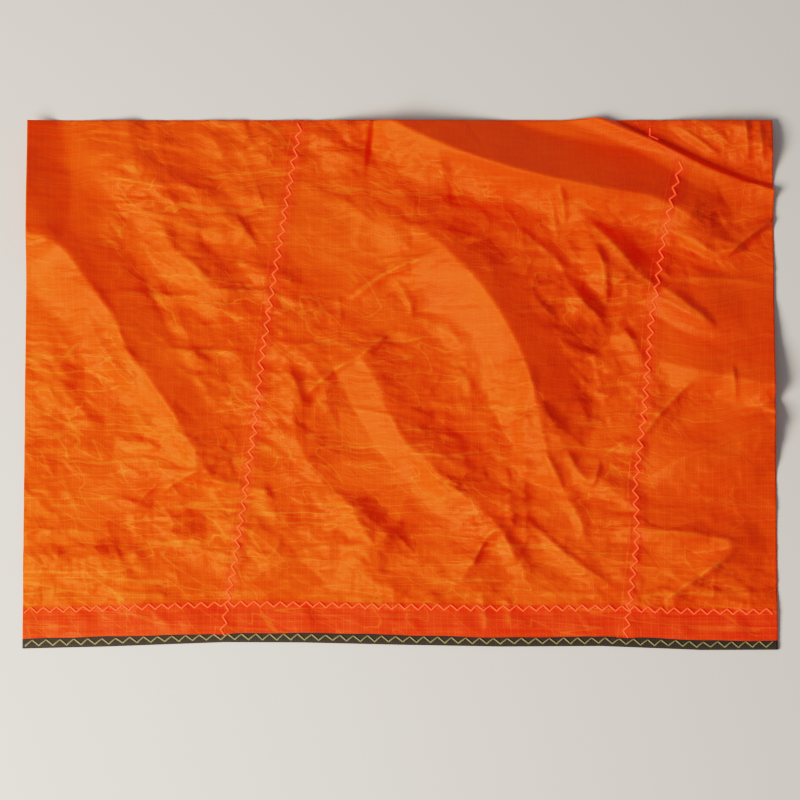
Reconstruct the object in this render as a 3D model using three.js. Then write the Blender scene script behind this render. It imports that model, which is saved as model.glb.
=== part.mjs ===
// A length of a kite canopy's trailing edge, cut from the canopy and lying crumpled.
// Three ripstop panels meet at two seams, each turns up its own hem, and a tape binds the edge.
// Millimetres, Z up, trailing edge toward -Y, origin below the middle of the cloth.
import * as THREE from 'three';

// Driving sizes
const LENGTH = 540; // along the trailing edge
const DEPTH = 393; // from the trailing edge up to the cut
const SHEET = 1.0; // one layer of cloth
const HEM_SHEET = 1.6; // cloth with the hem turned under it
const HEM_DEPTH = 28; // outer edge to the hem's stitching
const TAPE_WALL = 1.0; // one leg of the binding tape
const TAPE_SHOWN = 7; // how far the tape reaches over the cloth
const CLEAR = 0.34; // room left between neighbours
const GRID = 9; // spacing of the cloth's points
const SOFTEN = 3.5; // reach of the averaging over a crest
const FLAT_EDGE = 9; // the folds have died out this near to the outer edge
const FULL_FOLDS = 44; // and are at full height this far from it
const ORIGIN_U = 270;
const ORIGIN_V = 196.3;

// The outer edge bows a little: v at each u
const OUTER_EDGE = [
  { u: 0, v: 0 },
  { u: 60, v: 1.5 },
  { u: 144, v: 4.7 },
  { u: 200, v: 4.5 },
  { u: 270, v: 2.8 },
  { u: 342, v: 1.5 },
  { u: 414, v: 1.9 },
  { u: 486, v: -1.0 },
  { u: 540, v: -0.8 },
];

// Where the two seams run over the crumpled cloth: u at each v
const LEFT_SEAM = [
  { v: 0, u: 142 },
  { v: 32, u: 146 },
  { v: 60, u: 151 },
  { v: 100, u: 157 },
  { v: 160, u: 165 },
  { v: 220, u: 171 },
  { v: 280, u: 180 },
  { v: 320, u: 186 },
  { v: 393, u: 198 },
];
const RIGHT_SEAM = [
  { v: 0, u: 430 },
  { v: 40, u: 435 },
  { v: 80, u: 440 },
  { v: 120, u: 439 },
  { v: 180, u: 446 },
  { v: 240, u: 451 },
  { v: 300, u: 460 },
  { v: 335, u: 467 },
  { v: 362, u: 473 },
  { v: 378, u: 456 },
  { v: 393, u: 447 },
];

// Main folds. Each is walked along its crest, with its height there and how far
// it falls to the left and to the right of the walk. A low tip makes a sharp crest,
// and high feet make a slope that runs out hollow.
const MAIN_FOLDS = [
  {
    name: 'corner roll', tip: 1.0, leftFoot: 1.2, rightFoot: 2.0,
    crest: [
      { u: -12, v: 440, rise: 24, left: 38, right: 30 },
      { u: -11, v: 385, rise: 24, left: 38, right: 30 },
      { u: -9, v: 345, rise: 21, left: 42, right: 30 },
      { u: -6, v: 320, rise: 12, left: 36, right: 30 },
    ],
  },
  {
    name: 'left roll', tip: 1.0, leftFoot: 1.35, rightFoot: 2.1,
    crest: [
      { u: -50, v: 330, rise: 18, left: 60, right: 66 },
      { u: -6, v: 311, rise: 20, left: 60, right: 66 },
      { u: 14, v: 304, rise: 20, left: 56, right: 64 },
      { u: 28, v: 295, rise: 19, left: 52, right: 62 },
      { u: 42, v: 276, rise: 18, left: 52, right: 56 },
      { u: 55, v: 259, rise: 18, left: 54, right: 50 },
      { u: 65, v: 244, rise: 17, left: 52, right: 46 },
      { u: 71, v: 226, rise: 16, left: 50, right: 42 },
      { u: 82, v: 209, rise: 15, left: 50, right: 38 },
      { u: 94, v: 193, rise: 15, left: 50, right: 36 },
      { u: 105, v: 177, rise: 14, left: 46, right: 36 },
      { u: 119, v: 152, rise: 12, left: 38, right: 32 },
      { u: 134, v: 128, rise: 8, left: 24, right: 24 },
      { u: 148, v: 110, rise: 0, left: 12, right: 12 },
    ],
  },
  {
    name: 'left shoulder', tip: 1.0, leftFoot: 1.3, rightFoot: 1.3,
    crest: [
      { u: 70, v: 412, rise: 5, left: 36, right: 44 },
      { u: 76, v: 372, rise: 7, left: 36, right: 44 },
      { u: 84, v: 345, rise: 6, left: 32, right: 36 },
      { u: 98, v: 332, rise: 3, left: 20, right: 24 },
      { u: 112, v: 322, rise: 0, left: 11, right: 12 },
    ],
  },
  {
    name: 'upper plate', tip: 1.0, leftFoot: 1.15, rightFoot: 1.3,
    crest: [
      { u: 92, v: 340, rise: 0, left: 11, right: 11 },
      { u: 96, v: 322, rise: 6, left: 46, right: 20 },
      { u: 106, v: 300, rise: 9, left: 58, right: 24 },
      { u: 124, v: 278, rise: 9, left: 56, right: 26 },
      { u: 140, v: 260, rise: 5, left: 34, right: 20 },
      { u: 154, v: 246, rise: 0, left: 12, right: 12 },
    ],
  },
  {
    name: 'valley bank', tip: 1.3, leftFoot: 1.4, rightFoot: 1.2,
    crest: [
      { u: 120, v: 262, rise: 0, left: 20, right: 18 },
      { u: 146, v: 228, rise: 4, left: 28, right: 36 },
      { u: 172, v: 184, rise: 4, left: 26, right: 34 },
      { u: 194, v: 150, rise: 2, left: 20, right: 22 },
      { u: 204, v: 134, rise: 0, left: 12, right: 12 },
    ],
  },
  {
    name: 'second ridge', tip: 1.05, leftFoot: 1.3, rightFoot: 1.3,
    crest: [
      { u: 188, v: 202, rise: 0, left: 11, right: 11 },
      { u: 193, v: 180, rise: 5, left: 16, right: 16 },
      { u: 197, v: 152, rise: 7, left: 20, right: 24 },
      { u: 212, v: 126, rise: 8, left: 22, right: 28 },
      { u: 236, v: 104, rise: 8, left: 20, right: 28 },
      { u: 262, v: 84, rise: 5, left: 15, right: 20 },
      { u: 282, v: 72, rise: 0, left: 11, right: 11 },
    ],
  },
  {
    name: 'low ridge', tip: 1.0, leftFoot: 1.1, rightFoot: 1.1,
    crest: [
      { u: 236, v: 226, rise: 0, left: 18, right: 12 },
      { u: 252, v: 196, rise: 8, left: 36, right: 22 },
      { u: 266, v: 167, rise: 12, left: 42, right: 26 },
      { u: 286, v: 141, rise: 14, left: 42, right: 27 },
      { u: 310, v: 117, rise: 14, left: 38, right: 27 },
      { u: 334, v: 97, rise: 12, left: 32, right: 22 },
      { u: 350, v: 79, rise: 8, left: 20, right: 16 },
      { u: 364, v: 60, rise: 4, left: 12, right: 13 },
      { u: 382, v: 44, rise: 0, left: 11, right: 11 },
    ],
  },
  {
    name: 'middle plate', tip: 1.0, leftFoot: 1.05, rightFoot: 1.2,
    crest: [
      { u: 232, v: 330, rise: 0, left: 20, right: 14 },
      { u: 262, v: 320, rise: 9, left: 30, right: 24 },
      { u: 288, v: 309, rise: 16, left: 46, right: 34 },
      { u: 310, v: 290, rise: 21, left: 58, right: 50 },
      { u: 331, v: 266, rise: 24, left: 64, right: 52 },
      { u: 348, v: 238, rise: 24, left: 62, right: 44 },
      { u: 362, v: 206, rise: 22, left: 54, right: 36 },
      { u: 369, v: 176, rise: 19, left: 44, right: 30 },
      { u: 374, v: 152, rise: 13, left: 28, right: 24 },
      { u: 379, v: 130, rise: 6, left: 14, right: 16 },
      { u: 386, v: 110, rise: 0, left: 11, right: 11 },
    ],
  },
  {
    name: 'top ridge', tip: 1.0, leftFoot: 1.0, rightFoot: 1.35,
    crest: [
      { u: 230, v: 412, rise: 12, left: 30, right: 26 },
      { u: 290, v: 380, rise: 20, left: 34, right: 34 },
      { u: 350, v: 357, rise: 24, left: 34, right: 28 },
      { u: 408, v: 343, rise: 23, left: 34, right: 26 },
      { u: 456, v: 334, rise: 19, left: 33, right: 30 },
      { u: 484, v: 318, rise: 11, left: 28, right: 28 },
      { u: 510, v: 294, rise: 0, left: 14, right: 14 },
    ],
  },
  {
    name: 'tuck', tip: 1.0, leftFoot: 1.0, rightFoot: 1.4,
    crest: [
      { u: 350, v: 416, rise: 2, left: 11, right: 11 },
      { u: 392, v: 401, rise: 7, left: 11, right: 11 },
      { u: 447, v: 378, rise: 9, left: 11, right: 11 },
      { u: 503, v: 350, rise: 10, left: 11, right: 15 },
      { u: 560, v: 332, rise: 10, left: 11, right: 20 },
    ],
  },
  {
    name: 'right spike', tip: 1.0, leftFoot: 1.1, rightFoot: 1.3,
    crest: [
      { u: 396, v: 314, rise: 0, left: 12, right: 11 },
      { u: 418, v: 286, rise: 6, left: 26, right: 14 },
      { u: 446, v: 267, rise: 9, left: 34, right: 14 },
      { u: 474, v: 250, rise: 9, left: 44, right: 14 },
      { u: 500, v: 235, rise: 1, left: 22, right: 11 },
    ],
  },
  {
    name: 'right plate', tip: 1.1, leftFoot: 1.1, rightFoot: 1.2,
    crest: [
      { u: 440, v: 214, rise: 0, left: 20, right: 12 },
      { u: 474, v: 208, rise: 8, left: 56, right: 18 },
      { u: 512, v: 200, rise: 13, left: 62, right: 20 },
      { u: 556, v: 192, rise: 14, left: 66, right: 22 },
    ],
  },
  {
    name: 'right fold one', tip: 1.1, leftFoot: 1.3, rightFoot: 1.1,
    crest: [
      { u: 414, v: 118, rise: 0, left: 12, right: 11 },
      { u: 438, v: 148, rise: 5, left: 20, right: 20 },
      { u: 456, v: 172, rise: 7, left: 26, right: 22 },
      { u: 478, v: 194, rise: 5, left: 26, right: 14 },
      { u: 500, v: 206, rise: 0, left: 16, right: 12 },
    ],
  },
  {
    name: 'right fold two', tip: 1.0, leftFoot: 1.0, rightFoot: 1.1,
    crest: [
      { u: 446, v: 124, rise: 0, left: 11, right: 11 },
      { u: 459, v: 133, rise: 7, left: 14, right: 24 },
      { u: 474, v: 141, rise: 12, left: 22, right: 34 },
      { u: 500, v: 152, rise: 14, left: 19, right: 40 },
      { u: 540, v: 169, rise: 14, left: 14, right: 40 },
      { u: 575, v: 184, rise: 14, left: 14, right: 40 },
    ],
  },
  {
    name: 'corner fold', tip: 1.0, leftFoot: 1.3, rightFoot: 1.2,
    crest: [
      { u: 420, v: 90, rise: 0, left: 11, right: 11 },
      { u: 456, v: 88, rise: 6, left: 17, right: 16 },
      { u: 490, v: 84, rise: 9, left: 22, right: 20 },
      { u: 508, v: 74, rise: 9, left: 26, right: 22 },
      { u: 494, v: 60, rise: 8, left: 26, right: 22 },
      { u: 470, v: 43, rise: 6, left: 22, right: 20 },
      { u: 446, v: 30, rise: 2, left: 12, right: 12 },
    ],
  },
];

// Broad swells under the folds: centre, half size along and across, turn in degrees
const SWELLS = [
  { name: 'upper left', u: 110, v: 352, along: 90, across: 46, turn: -20, rise: 4 },
  { name: 'left edge', u: 34, v: 210, along: 70, across: 60, turn: -40, rise: 4 },
  { name: 'left seam', u: 186, v: 250, along: 70, across: 46, turn: -50, rise: 4 },
  { name: 'top middle', u: 220, v: 372, along: 60, across: 40, turn: 0, rise: 6 },
  { name: 'hollow bank', u: 226, v: 196, along: 46, across: 40, turn: 30, rise: 3 },
  { name: 'beside plate', u: 414, v: 262, along: 70, across: 40, turn: -50, rise: 5 },
  { name: 'right edge', u: 500, v: 262, along: 60, across: 50, turn: 0, rise: 4 },
  { name: 'right corner', u: 512, v: 388, along: 76, across: 34, turn: -22, rise: 12 },
  { name: 'hem left', u: 90, v: 74, along: 110, across: 34, turn: 0, rise: 3 },
  { name: 'hem middle', u: 262, v: 74, along: 90, across: 34, turn: 0, rise: 3 },
  { name: 'hem right', u: 470, v: 84, along: 80, across: 40, turn: 0, rise: 3 },
];

// Side folds, one row each: from u, v to u, v, bowed to the left of the walk
const SIDE_FOLDS = [
  { u: 200, v: 186, toU: 296, toV: 244, bow: 6, rise: 3, left: 14, right: 12 },
  { u: 228, v: 252, toU: 296, toV: 294, bow: 4, rise: 5, left: 12, right: 12 },
  { u: 186, v: 216, toU: 202, toV: 170, bow: 0, rise: 3, left: 11, right: 14 },
  { u: 96, v: 356, toU: 158, toV: 311, bow: 3, rise: 5, left: 13, right: 26 },
  { u: 126, v: 388, toU: 152, toV: 368, bow: -2, rise: 3, left: 16, right: 14 },
  { u: 150, v: 367, toU: 188, toV: 392, bow: -2, rise: 3, left: 14, right: 18 },
  { u: 214, v: 372, toU: 246, toV: 344, bow: 2, rise: 3, left: 11, right: 14 },
  { u: 252, v: 404, toU: 246, toV: 336, bow: 0, rise: -5, left: 11, right: 11 },
  { u: 246, v: 344, toU: 238, toV: 296, bow: 0, rise: 2, left: 12, right: 11 },
  { u: 12, v: 286, toU: 60, toV: 250, bow: 2, rise: 3, left: 11, right: 22 },
  { u: 40, v: 254, toU: 80, toV: 190, bow: -3, rise: 4, left: 11, right: 18 },
  { u: -10, v: 184, toU: 34, toV: 197, bow: 0, rise: 4, left: 14, right: 14 },
  { u: -14, v: 70, toU: 94, toV: 71, bow: -2, rise: 7, left: 11, right: 28 },
  { u: -14, v: 108, toU: 60, toV: 116, bow: 3, rise: 3, left: 12, right: 18 },
  { u: 96, v: 96, toU: 160, toV: 90, bow: 3, rise: 4, left: 11, right: 18 },
  { u: 148, v: 114, toU: 196, toV: 92, bow: 4, rise: 3, left: 11, right: 18 },
  { u: 312, v: 46, toU: 338, toV: 88, bow: 2, rise: 5, left: 16, right: 11 },
  { u: 338, v: 90, toU: 362, toV: 44, bow: 3, rise: 5, left: 11, right: 16 },
  { u: 356, v: 100, toU: 430, toV: 40, bow: -3, rise: 5, left: 11, right: 16 },
  { u: 386, v: 124, toU: 404, toV: 80, bow: 3, rise: 3, left: 11, right: 14 },
  { u: 396, v: 326, toU: 458, toV: 262, bow: 4, rise: 6, left: 12, right: 20 },
  { u: 402, v: 316, toU: 416, toV: 254, bow: 5, rise: 4, left: 11, right: 12 },
  { u: 356, v: 312, toU: 390, toV: 282, bow: 0, rise: 4, left: 11, right: 16 },
  { u: 386, v: 276, toU: 419, toV: 237, bow: 2, rise: 6, left: 11, right: 28 },
  { u: 424, v: 244, toU: 446, toV: 212, bow: 2, rise: 3, left: 11, right: 14 },
  { u: 384, v: 158, toU: 444, toV: 183, bow: -3, rise: 4, left: 11, right: 12 },
  { u: 384, v: 178, toU: 436, toV: 193, bow: -2, rise: 3, left: 11, right: 11 },
  { u: 466, v: 314, toU: 506, toV: 288, bow: 0, rise: 4, left: 12, right: 11 },
  { u: 503, v: 290, toU: 556, toV: 326, bow: 3, rise: 7, left: 16, right: 11 },
  { u: 398, v: 130, toU: 446, toV: 106, bow: 4, rise: 3, left: 11, right: 16 },
  { u: 300, v: 246, toU: 322, toV: 186, bow: 5, rise: 3, left: 12, right: 12 },
  { u: 364, v: 212, toU: 360, toV: 100, bow: -3, rise: 3, left: 12, right: 11 },
];
const SIDE_SHAPE = { tip: 1.1, leftFoot: 1.2, rightFoot: 1.2 };

const clamp = (x, low, high) => Math.min(high, Math.max(low, x));
const mix = (a, b, t) => a + (b - a) * t;
const ease = (t) => {
  const c = clamp(t, 0, 1);
  return c * c * (3 - 2 * c);
};

// Straight runs between the rows of a table
function lookUp(rows, key, value, at) {
  let k = 0;
  while (k < rows.length - 2 && rows[k + 1][key] < at) k += 1;
  const a = rows[k];
  const b = rows[k + 1];
  return mix(a[value], b[value], clamp((at - a[key]) / (b[key] - a[key]), 0, 1));
}

// The stations of a smooth walk along a crest
function walkCrest(crest) {
  const keys = ['u', 'v', 'rise', 'left', 'right'];
  const beyond = (a, b) => Object.fromEntries(keys.map((k) => [k, 2 * a[k] - b[k]]));
  const first = beyond(crest[0], crest[1]);
  const last = beyond(crest[crest.length - 1], crest[crest.length - 2]);
  const rows = [first, ...crest, last];
  const walk = [];
  for (let i = 1; i < rows.length - 2; i += 1) {
    const steps = Math.max(2, Math.ceil(Math.hypot(rows[i + 1].u - rows[i].u, rows[i + 1].v - rows[i].v) / 6));
    for (let s = 0; s < steps; s += 1) {
      const t = s / steps;
      const at = {};
      for (const k of keys) {
        const [a, b, c, d] = [rows[i - 1][k], rows[i][k], rows[i + 1][k], rows[i + 2][k]];
        const square = (2 * a - 5 * b + 4 * c - d) * t * t;
        const cube = (3 * b - 3 * c + d - a) * t * t * t;
        at[k] = 0.5 * (2 * b + (c - a) * t + square + cube);
      }
      walk.push(at);
    }
  }
  walk.push(crest[crest.length - 1]);
  return walk;
}

// The stations of a side fold, which swells from nothing at both ends
function walkSide(fold) {
  const du = fold.toU - fold.u;
  const dv = fold.toV - fold.v;
  const length = Math.hypot(du, dv);
  const steps = Math.max(6, Math.round(length / 7));
  const walk = [];
  for (let s = 0; s <= steps; s += 1) {
    const t = s / steps;
    const arch = Math.sin(Math.PI * t);
    const swell = s === 0 || s === steps ? 0 : arch ** 0.6;
    walk.push({
      u: fold.u + du * t - (dv / length) * fold.bow * arch,
      v: fold.v + dv * t + (du / length) * fold.bow * arch,
      rise: fold.rise * swell,
      left: fold.left * (0.35 + 0.65 * swell),
      right: fold.right * (0.35 + 0.65 * swell),
    });
  }
  return walk;
}

const FOLDS = [
  ...MAIN_FOLDS.map((fold) => ({ shape: fold, walk: walkCrest(fold.crest) })),
  ...SIDE_FOLDS.map((fold) => ({ shape: SIDE_SHAPE, walk: walkSide(fold) })),
];

// How high one fold stands at u, v: the highest of what its stretches give there
function foldHeight({ shape, walk }, u, v) {
  let best = 0;
  for (let i = 0; i < walk.length - 1; i += 1) {
    const a = walk[i];
    const b = walk[i + 1];
    const du = b.u - a.u;
    const dv = b.v - a.v;
    const length = Math.hypot(du, dv);
    const t = clamp(((u - a.u) * du + (v - a.v) * dv) / (length * length), 0, 1);
    const offU = u - a.u - t * du;
    const offV = v - a.v - t * dv;
    const away = Math.hypot(offU, offV) + 1e-6;
    const sine = clamp((du * offV - dv * offU) / (length * away), -1, 1);
    const leftness = 0.5 + 0.5 * Math.sin((sine * Math.PI) / 2);
    const reach = mix(mix(a.right, b.right, t), mix(a.left, b.left, t), leftness);
    if (away >= reach) continue;
    const foot = mix(shape.rightFoot, shape.leftFoot, leftness);
    const height = mix(a.rise, b.rise, t) * (1 - (away / reach) ** shape.tip) ** foot;
    if (Math.abs(height) > Math.abs(best)) best = height;
  }
  return best;
}

function swellHeight(swell, u, v) {
  const turn = (swell.turn * Math.PI) / 180;
  const along = ((u - swell.u) * Math.cos(turn) + (v - swell.v) * Math.sin(turn)) / swell.along;
  const across = ((v - swell.v) * Math.cos(turn) - (u - swell.u) * Math.sin(turn)) / swell.across;
  return swell.rise * Math.max(0, 1 - along * along - across * across) ** 2;
}

const outerEdge = (u) => lookUp(OUTER_EDGE, 'u', 'v', u);

// All folds together, averaged over a few points so that crests cross the grid evenly
function foldsAt(u, v) {
  let height = 0;
  for (const [du, dv] of [[0, 0], [SOFTEN, 0], [-SOFTEN, 0], [0, SOFTEN], [0, -SOFTEN]]) {
    for (const fold of FOLDS) height += foldHeight(fold, u + du, v + dv) / 5;
  }
  for (const swell of SWELLS) height += swellHeight(swell, u, v);
  return height;
}

// Height of the cloth's underside, held flat along the outer edge and where it touches
function relief(u, v) {
  const full = ease((v - outerEdge(u) - FLAT_EDGE) / (FULL_FOLDS - FLAT_EDGE));
  return Math.max(0, foldsAt(u, v)) * full;
}

// Distances from the outer edge of the rows of points, closer together at the hem
const EDGE_START = TAPE_WALL + CLEAR;
const HEM_ROWS = [EDGE_START, TAPE_SHOWN + 0.6, 13, 20, HEM_DEPTH, HEM_DEPTH + 3];
const BODY_ROWS = Math.round((DEPTH - HEM_DEPTH - 3) / GRID);
const ROWS = [
  ...HEM_ROWS,
  ...Array.from({ length: BODY_ROWS }, (_, k) => mix(HEM_DEPTH + 3, DEPTH, (k + 1) / BODY_ROWS)),
];

// The tape holds the cloth's edge clear of the surface it lies on
function edgeLift(fromEdge) {
  return (TAPE_WALL + CLEAR) * (1 - ease((fromEdge - TAPE_SHOWN) / (13 - TAPE_SHOWN)));
}

function thickness(fromEdge) {
  const intoHem = ease((fromEdge - TAPE_SHOWN) / (13 - TAPE_SHOWN));
  const outOfHem = ease((fromEdge - HEM_DEPTH) / 3);
  return SHEET + (HEM_SHEET - SHEET) * intoHem * (1 - outOfHem);
}

// The lower surface at a point given by u and the distance from the outer edge
function under(u, fromEdge) {
  const edge = outerEdge(u);
  const v = mix(edge, DEPTH, fromEdge / DEPTH);
  return new THREE.Vector3(u - ORIGIN_U, v - ORIGIN_V, relief(u, v) + edgeLift(fromEdge));
}

// That point with the two directions along the cloth and its upward normal
function station(u, fromEdge) {
  const step = 2.5;
  const along = under(u + step, fromEdge).sub(under(u - step, fromEdge)).normalize();
  const up = under(u, fromEdge + step).sub(under(u, fromEdge - step)).normalize();
  const normal = along.clone().cross(up).normalize();
  return { point: under(u, fromEdge), up, normal };
}

// A closed sheet from two grids of points, rows by columns, lower and upper
function closedSheet(lower, upper) {
  const rows = lower.length;
  const columns = lower[0].length;
  const positions = [];
  for (const grid of [lower, upper]) for (const row of grid) for (const p of row) positions.push(p.x, p.y, p.z);
  const low = (j, i) => j * columns + i;
  const high = (j, i) => rows * columns + j * columns + i;
  const faces = [];
  const quad = (a, b, c, d) => faces.push(a, b, c, a, c, d);
  for (let j = 0; j < rows - 1; j += 1) {
    for (let i = 0; i < columns - 1; i += 1) {
      const rising = upper[j][i].distanceTo(upper[j + 1][i + 1]);
      const falling = upper[j + 1][i].distanceTo(upper[j][i + 1]);
      if (rising <= falling) {
        quad(high(j, i), high(j, i + 1), high(j + 1, i + 1), high(j + 1, i));
        quad(low(j + 1, i + 1), low(j, i + 1), low(j, i), low(j + 1, i));
      } else {
        quad(high(j, i + 1), high(j + 1, i + 1), high(j + 1, i), high(j, i));
        quad(low(j + 1, i), low(j + 1, i + 1), low(j, i + 1), low(j, i));
      }
    }
  }
  const rim = [];
  for (let i = 0; i < columns - 1; i += 1) rim.push([0, i]);
  for (let j = 0; j < rows - 1; j += 1) rim.push([j, columns - 1]);
  for (let i = columns - 1; i > 0; i -= 1) rim.push([rows - 1, i]);
  for (let j = rows - 1; j > 0; j -= 1) rim.push([j, 0]);
  rim.forEach(([j, i], k) => {
    const [nextJ, nextI] = rim[(k + 1) % rim.length];
    if (nextJ < j) quad(low(nextJ, nextI), high(nextJ, nextI), high(j, i), low(j, i));
    else quad(low(j, i), low(nextJ, nextI), high(nextJ, nextI), high(j, i));
  });
  const geometry = new THREE.BufferGeometry();
  geometry.setAttribute('position', new THREE.Float32BufferAttribute(positions, 3));
  geometry.setIndex(faces);
  geometry.computeVertexNormals();
  return geometry;
}

// One panel between two borders, each a function of the distance from the outer edge.
// A border on a seam is moved back along the cloth by half the room between panels.
function panelGeometry(leftBorder, rightBorder, columns, seamLeft, seamRight) {
  const lower = [];
  const upper = [];
  for (const fromEdge of ROWS) {
    const lowerRow = [];
    const upperRow = [];
    const leftU = leftBorder(fromEdge);
    const rightU = rightBorder(fromEdge);
    for (let i = 0; i <= columns; i += 1) {
      const u = mix(leftU, rightU, i / columns);
      const { point, normal } = station(u, fromEdge);
      const onSeam = (i === 0 && seamLeft) || (i === columns && seamRight);
      if (onSeam) {
        const border = i === 0 ? leftBorder : rightBorder;
        const above = under(border(fromEdge + 2), fromEdge + 2);
        const below = under(border(fromEdge - 2), fromEdge - 2);
        const across = above.sub(below).normalize().cross(normal).normalize();
        point.addScaledVector(across, (i === 0 ? 0.5 : -0.5) * CLEAR);
        point.z = Math.max(0, point.z);
      }
      lowerRow.push(point);
      upperRow.push(point.clone().addScaledVector(normal, thickness(fromEdge)));
    }
    lower.push(lowerRow);
    upper.push(upperRow);
  }
  return closedSheet(lower, upper);
}

// The binding tape: a strip folded round the panels' outer edge, flat below
function tapeGeometry() {
  const legTop = 3 * TAPE_WALL + 2 * CLEAR;
  const inner = TAPE_WALL;
  const section = [
    { out: TAPE_SHOWN, z: 0 },
    { out: 0.5, z: 0 },
    { out: 0, z: 0.6 },
    { out: 0, z: legTop - 0.6 },
    { out: 0.5, z: legTop },
    { out: TAPE_SHOWN, z: legTop },
    { out: TAPE_SHOWN, z: legTop - TAPE_WALL },
    { out: inner, z: legTop - TAPE_WALL },
    { out: inner, z: TAPE_WALL },
    { out: TAPE_SHOWN, z: TAPE_WALL },
  ];
  const columns = Math.round(LENGTH / 18);
  const count = section.length;
  const positions = [];
  for (let i = 0; i <= columns; i += 1) {
    const u = (LENGTH * i) / columns;
    for (const { out, z } of section) positions.push(u - ORIGIN_U, outerEdge(u) + out - ORIGIN_V, z);
  }
  const faces = [];
  for (let i = 0; i < columns; i += 1) {
    for (let k = 0; k < count; k += 1) {
      const a = i * count + k;
      const b = i * count + ((k + 1) % count);
      faces.push(a, b + count, b, a, a + count, b + count);
    }
  }
  const outline = section.map(({ out, z }) => new THREE.Vector2(out, z));
  const end = columns * count;
  for (const [a, b, c] of THREE.ShapeUtils.triangulateShape(outline, [])) {
    faces.push(a, c, b);
    faces.push(end + a, end + b, end + c);
  }
  const geometry = new THREE.BufferGeometry();
  geometry.setAttribute('position', new THREE.Float32BufferAttribute(positions, 3));
  geometry.setIndex(faces);
  geometry.computeVertexNormals();
  return geometry;
}

const leftCut = () => 0;
const rightCut = () => LENGTH;
const leftSeam = (fromEdge) => lookUp(LEFT_SEAM, 'v', 'u', fromEdge);
const rightSeam = (fromEdge) => lookUp(RIGHT_SEAM, 'v', 'u', fromEdge);

const canopy = { color: 0xe05414, roughness: 0.55, metalness: 0, side: THREE.DoubleSide };
const binding = { color: 0x41392e, roughness: 0.8, metalness: 0 };

function named(name, geometry, look) {
  const mesh = new THREE.Mesh(geometry, new THREE.MeshStandardMaterial(look));
  mesh.name = name;
  return mesh;
}

const part = new THREE.Group();
part.add(named('panel_left', panelGeometry(leftCut, leftSeam, 19, false, true), canopy));
part.add(named('panel_middle', panelGeometry(leftSeam, rightSeam, 31, true, true), canopy));
part.add(named('panel_right', panelGeometry(rightSeam, rightCut, 12, true, false), canopy));
part.add(named('edge_tape', tapeGeometry(), binding));

export default part;
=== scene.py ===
# A length of a kitesurfing kite's canopy at its trailing edge, cut out and lying crumpled.
# Three panels of orange ripstop nylon, two lapped seams, a turned hem and a dark binding tape.
import math
import random

import bpy
import numpy as np
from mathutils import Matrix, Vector


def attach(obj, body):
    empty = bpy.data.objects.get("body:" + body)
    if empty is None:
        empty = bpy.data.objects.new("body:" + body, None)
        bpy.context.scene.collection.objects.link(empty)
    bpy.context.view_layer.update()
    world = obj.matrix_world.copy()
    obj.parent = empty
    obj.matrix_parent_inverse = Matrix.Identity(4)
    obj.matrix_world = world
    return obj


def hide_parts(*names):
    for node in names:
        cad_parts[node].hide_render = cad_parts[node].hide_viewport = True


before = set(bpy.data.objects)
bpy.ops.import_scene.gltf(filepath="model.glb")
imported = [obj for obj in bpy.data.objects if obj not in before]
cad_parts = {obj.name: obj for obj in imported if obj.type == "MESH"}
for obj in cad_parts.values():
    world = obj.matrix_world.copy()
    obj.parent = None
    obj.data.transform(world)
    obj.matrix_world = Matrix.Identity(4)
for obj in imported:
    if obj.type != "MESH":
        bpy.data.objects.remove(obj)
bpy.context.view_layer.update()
scene = bpy.context.scene


# The view: over the binding, looking down on the cloth at 76 degrees from a long
# way off, so that the seams keep their lines. The width is of cloth and margin together.
VIEW_ELEVATION = math.radians(75.7)
VIEW_WIDTH = 0.576
VIEW_LENS = 400.0
VIEW_CENTRE = Vector((0.0, -0.0126, 0.0))

camera_data = bpy.data.cameras.new("camera")
camera_data.lens = VIEW_LENS
camera_data.sensor_width = 36.0
camera = bpy.data.objects.new("camera", camera_data)
scene.collection.objects.link(camera)
view_away = Vector((0.0, -math.cos(VIEW_ELEVATION), math.sin(VIEW_ELEVATION)))
camera.location = VIEW_CENTRE + view_away * (VIEW_WIDTH / 36.0 * VIEW_LENS)
camera.rotation_euler = view_away.to_track_quat("Z", "Y").to_euler()
scene.camera = camera


# How the cloth lies: large folds that stand up to 25 mm off the surface, broad swells
# under them, side folds, then the sharp creases that stiff coated nylon keeps once it
# has been crushed. All in millimetres: u along the binding, v from it up to the cut.
LENGTH = 540.0
DEPTH = 393.0
ORIGIN_U, ORIGIN_V = 270.0, 196.3
FLAT_EDGE, FULL_FOLDS = 9.0, 44.0  # from the bound edge: flat up to 9 mm, full folds from 44
MAP_STEP = 1.0
CREASE_FADE = 0.3  # share of a crease's length in which each end fades

OUTER_EDGE_U = (0, 60, 144, 200, 270, 342, 414, 486, 540)
OUTER_EDGE_V = (0, 1.5, 4.7, 4.5, 2.8, 1.5, 1.9, -1.0, -0.8)

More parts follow.
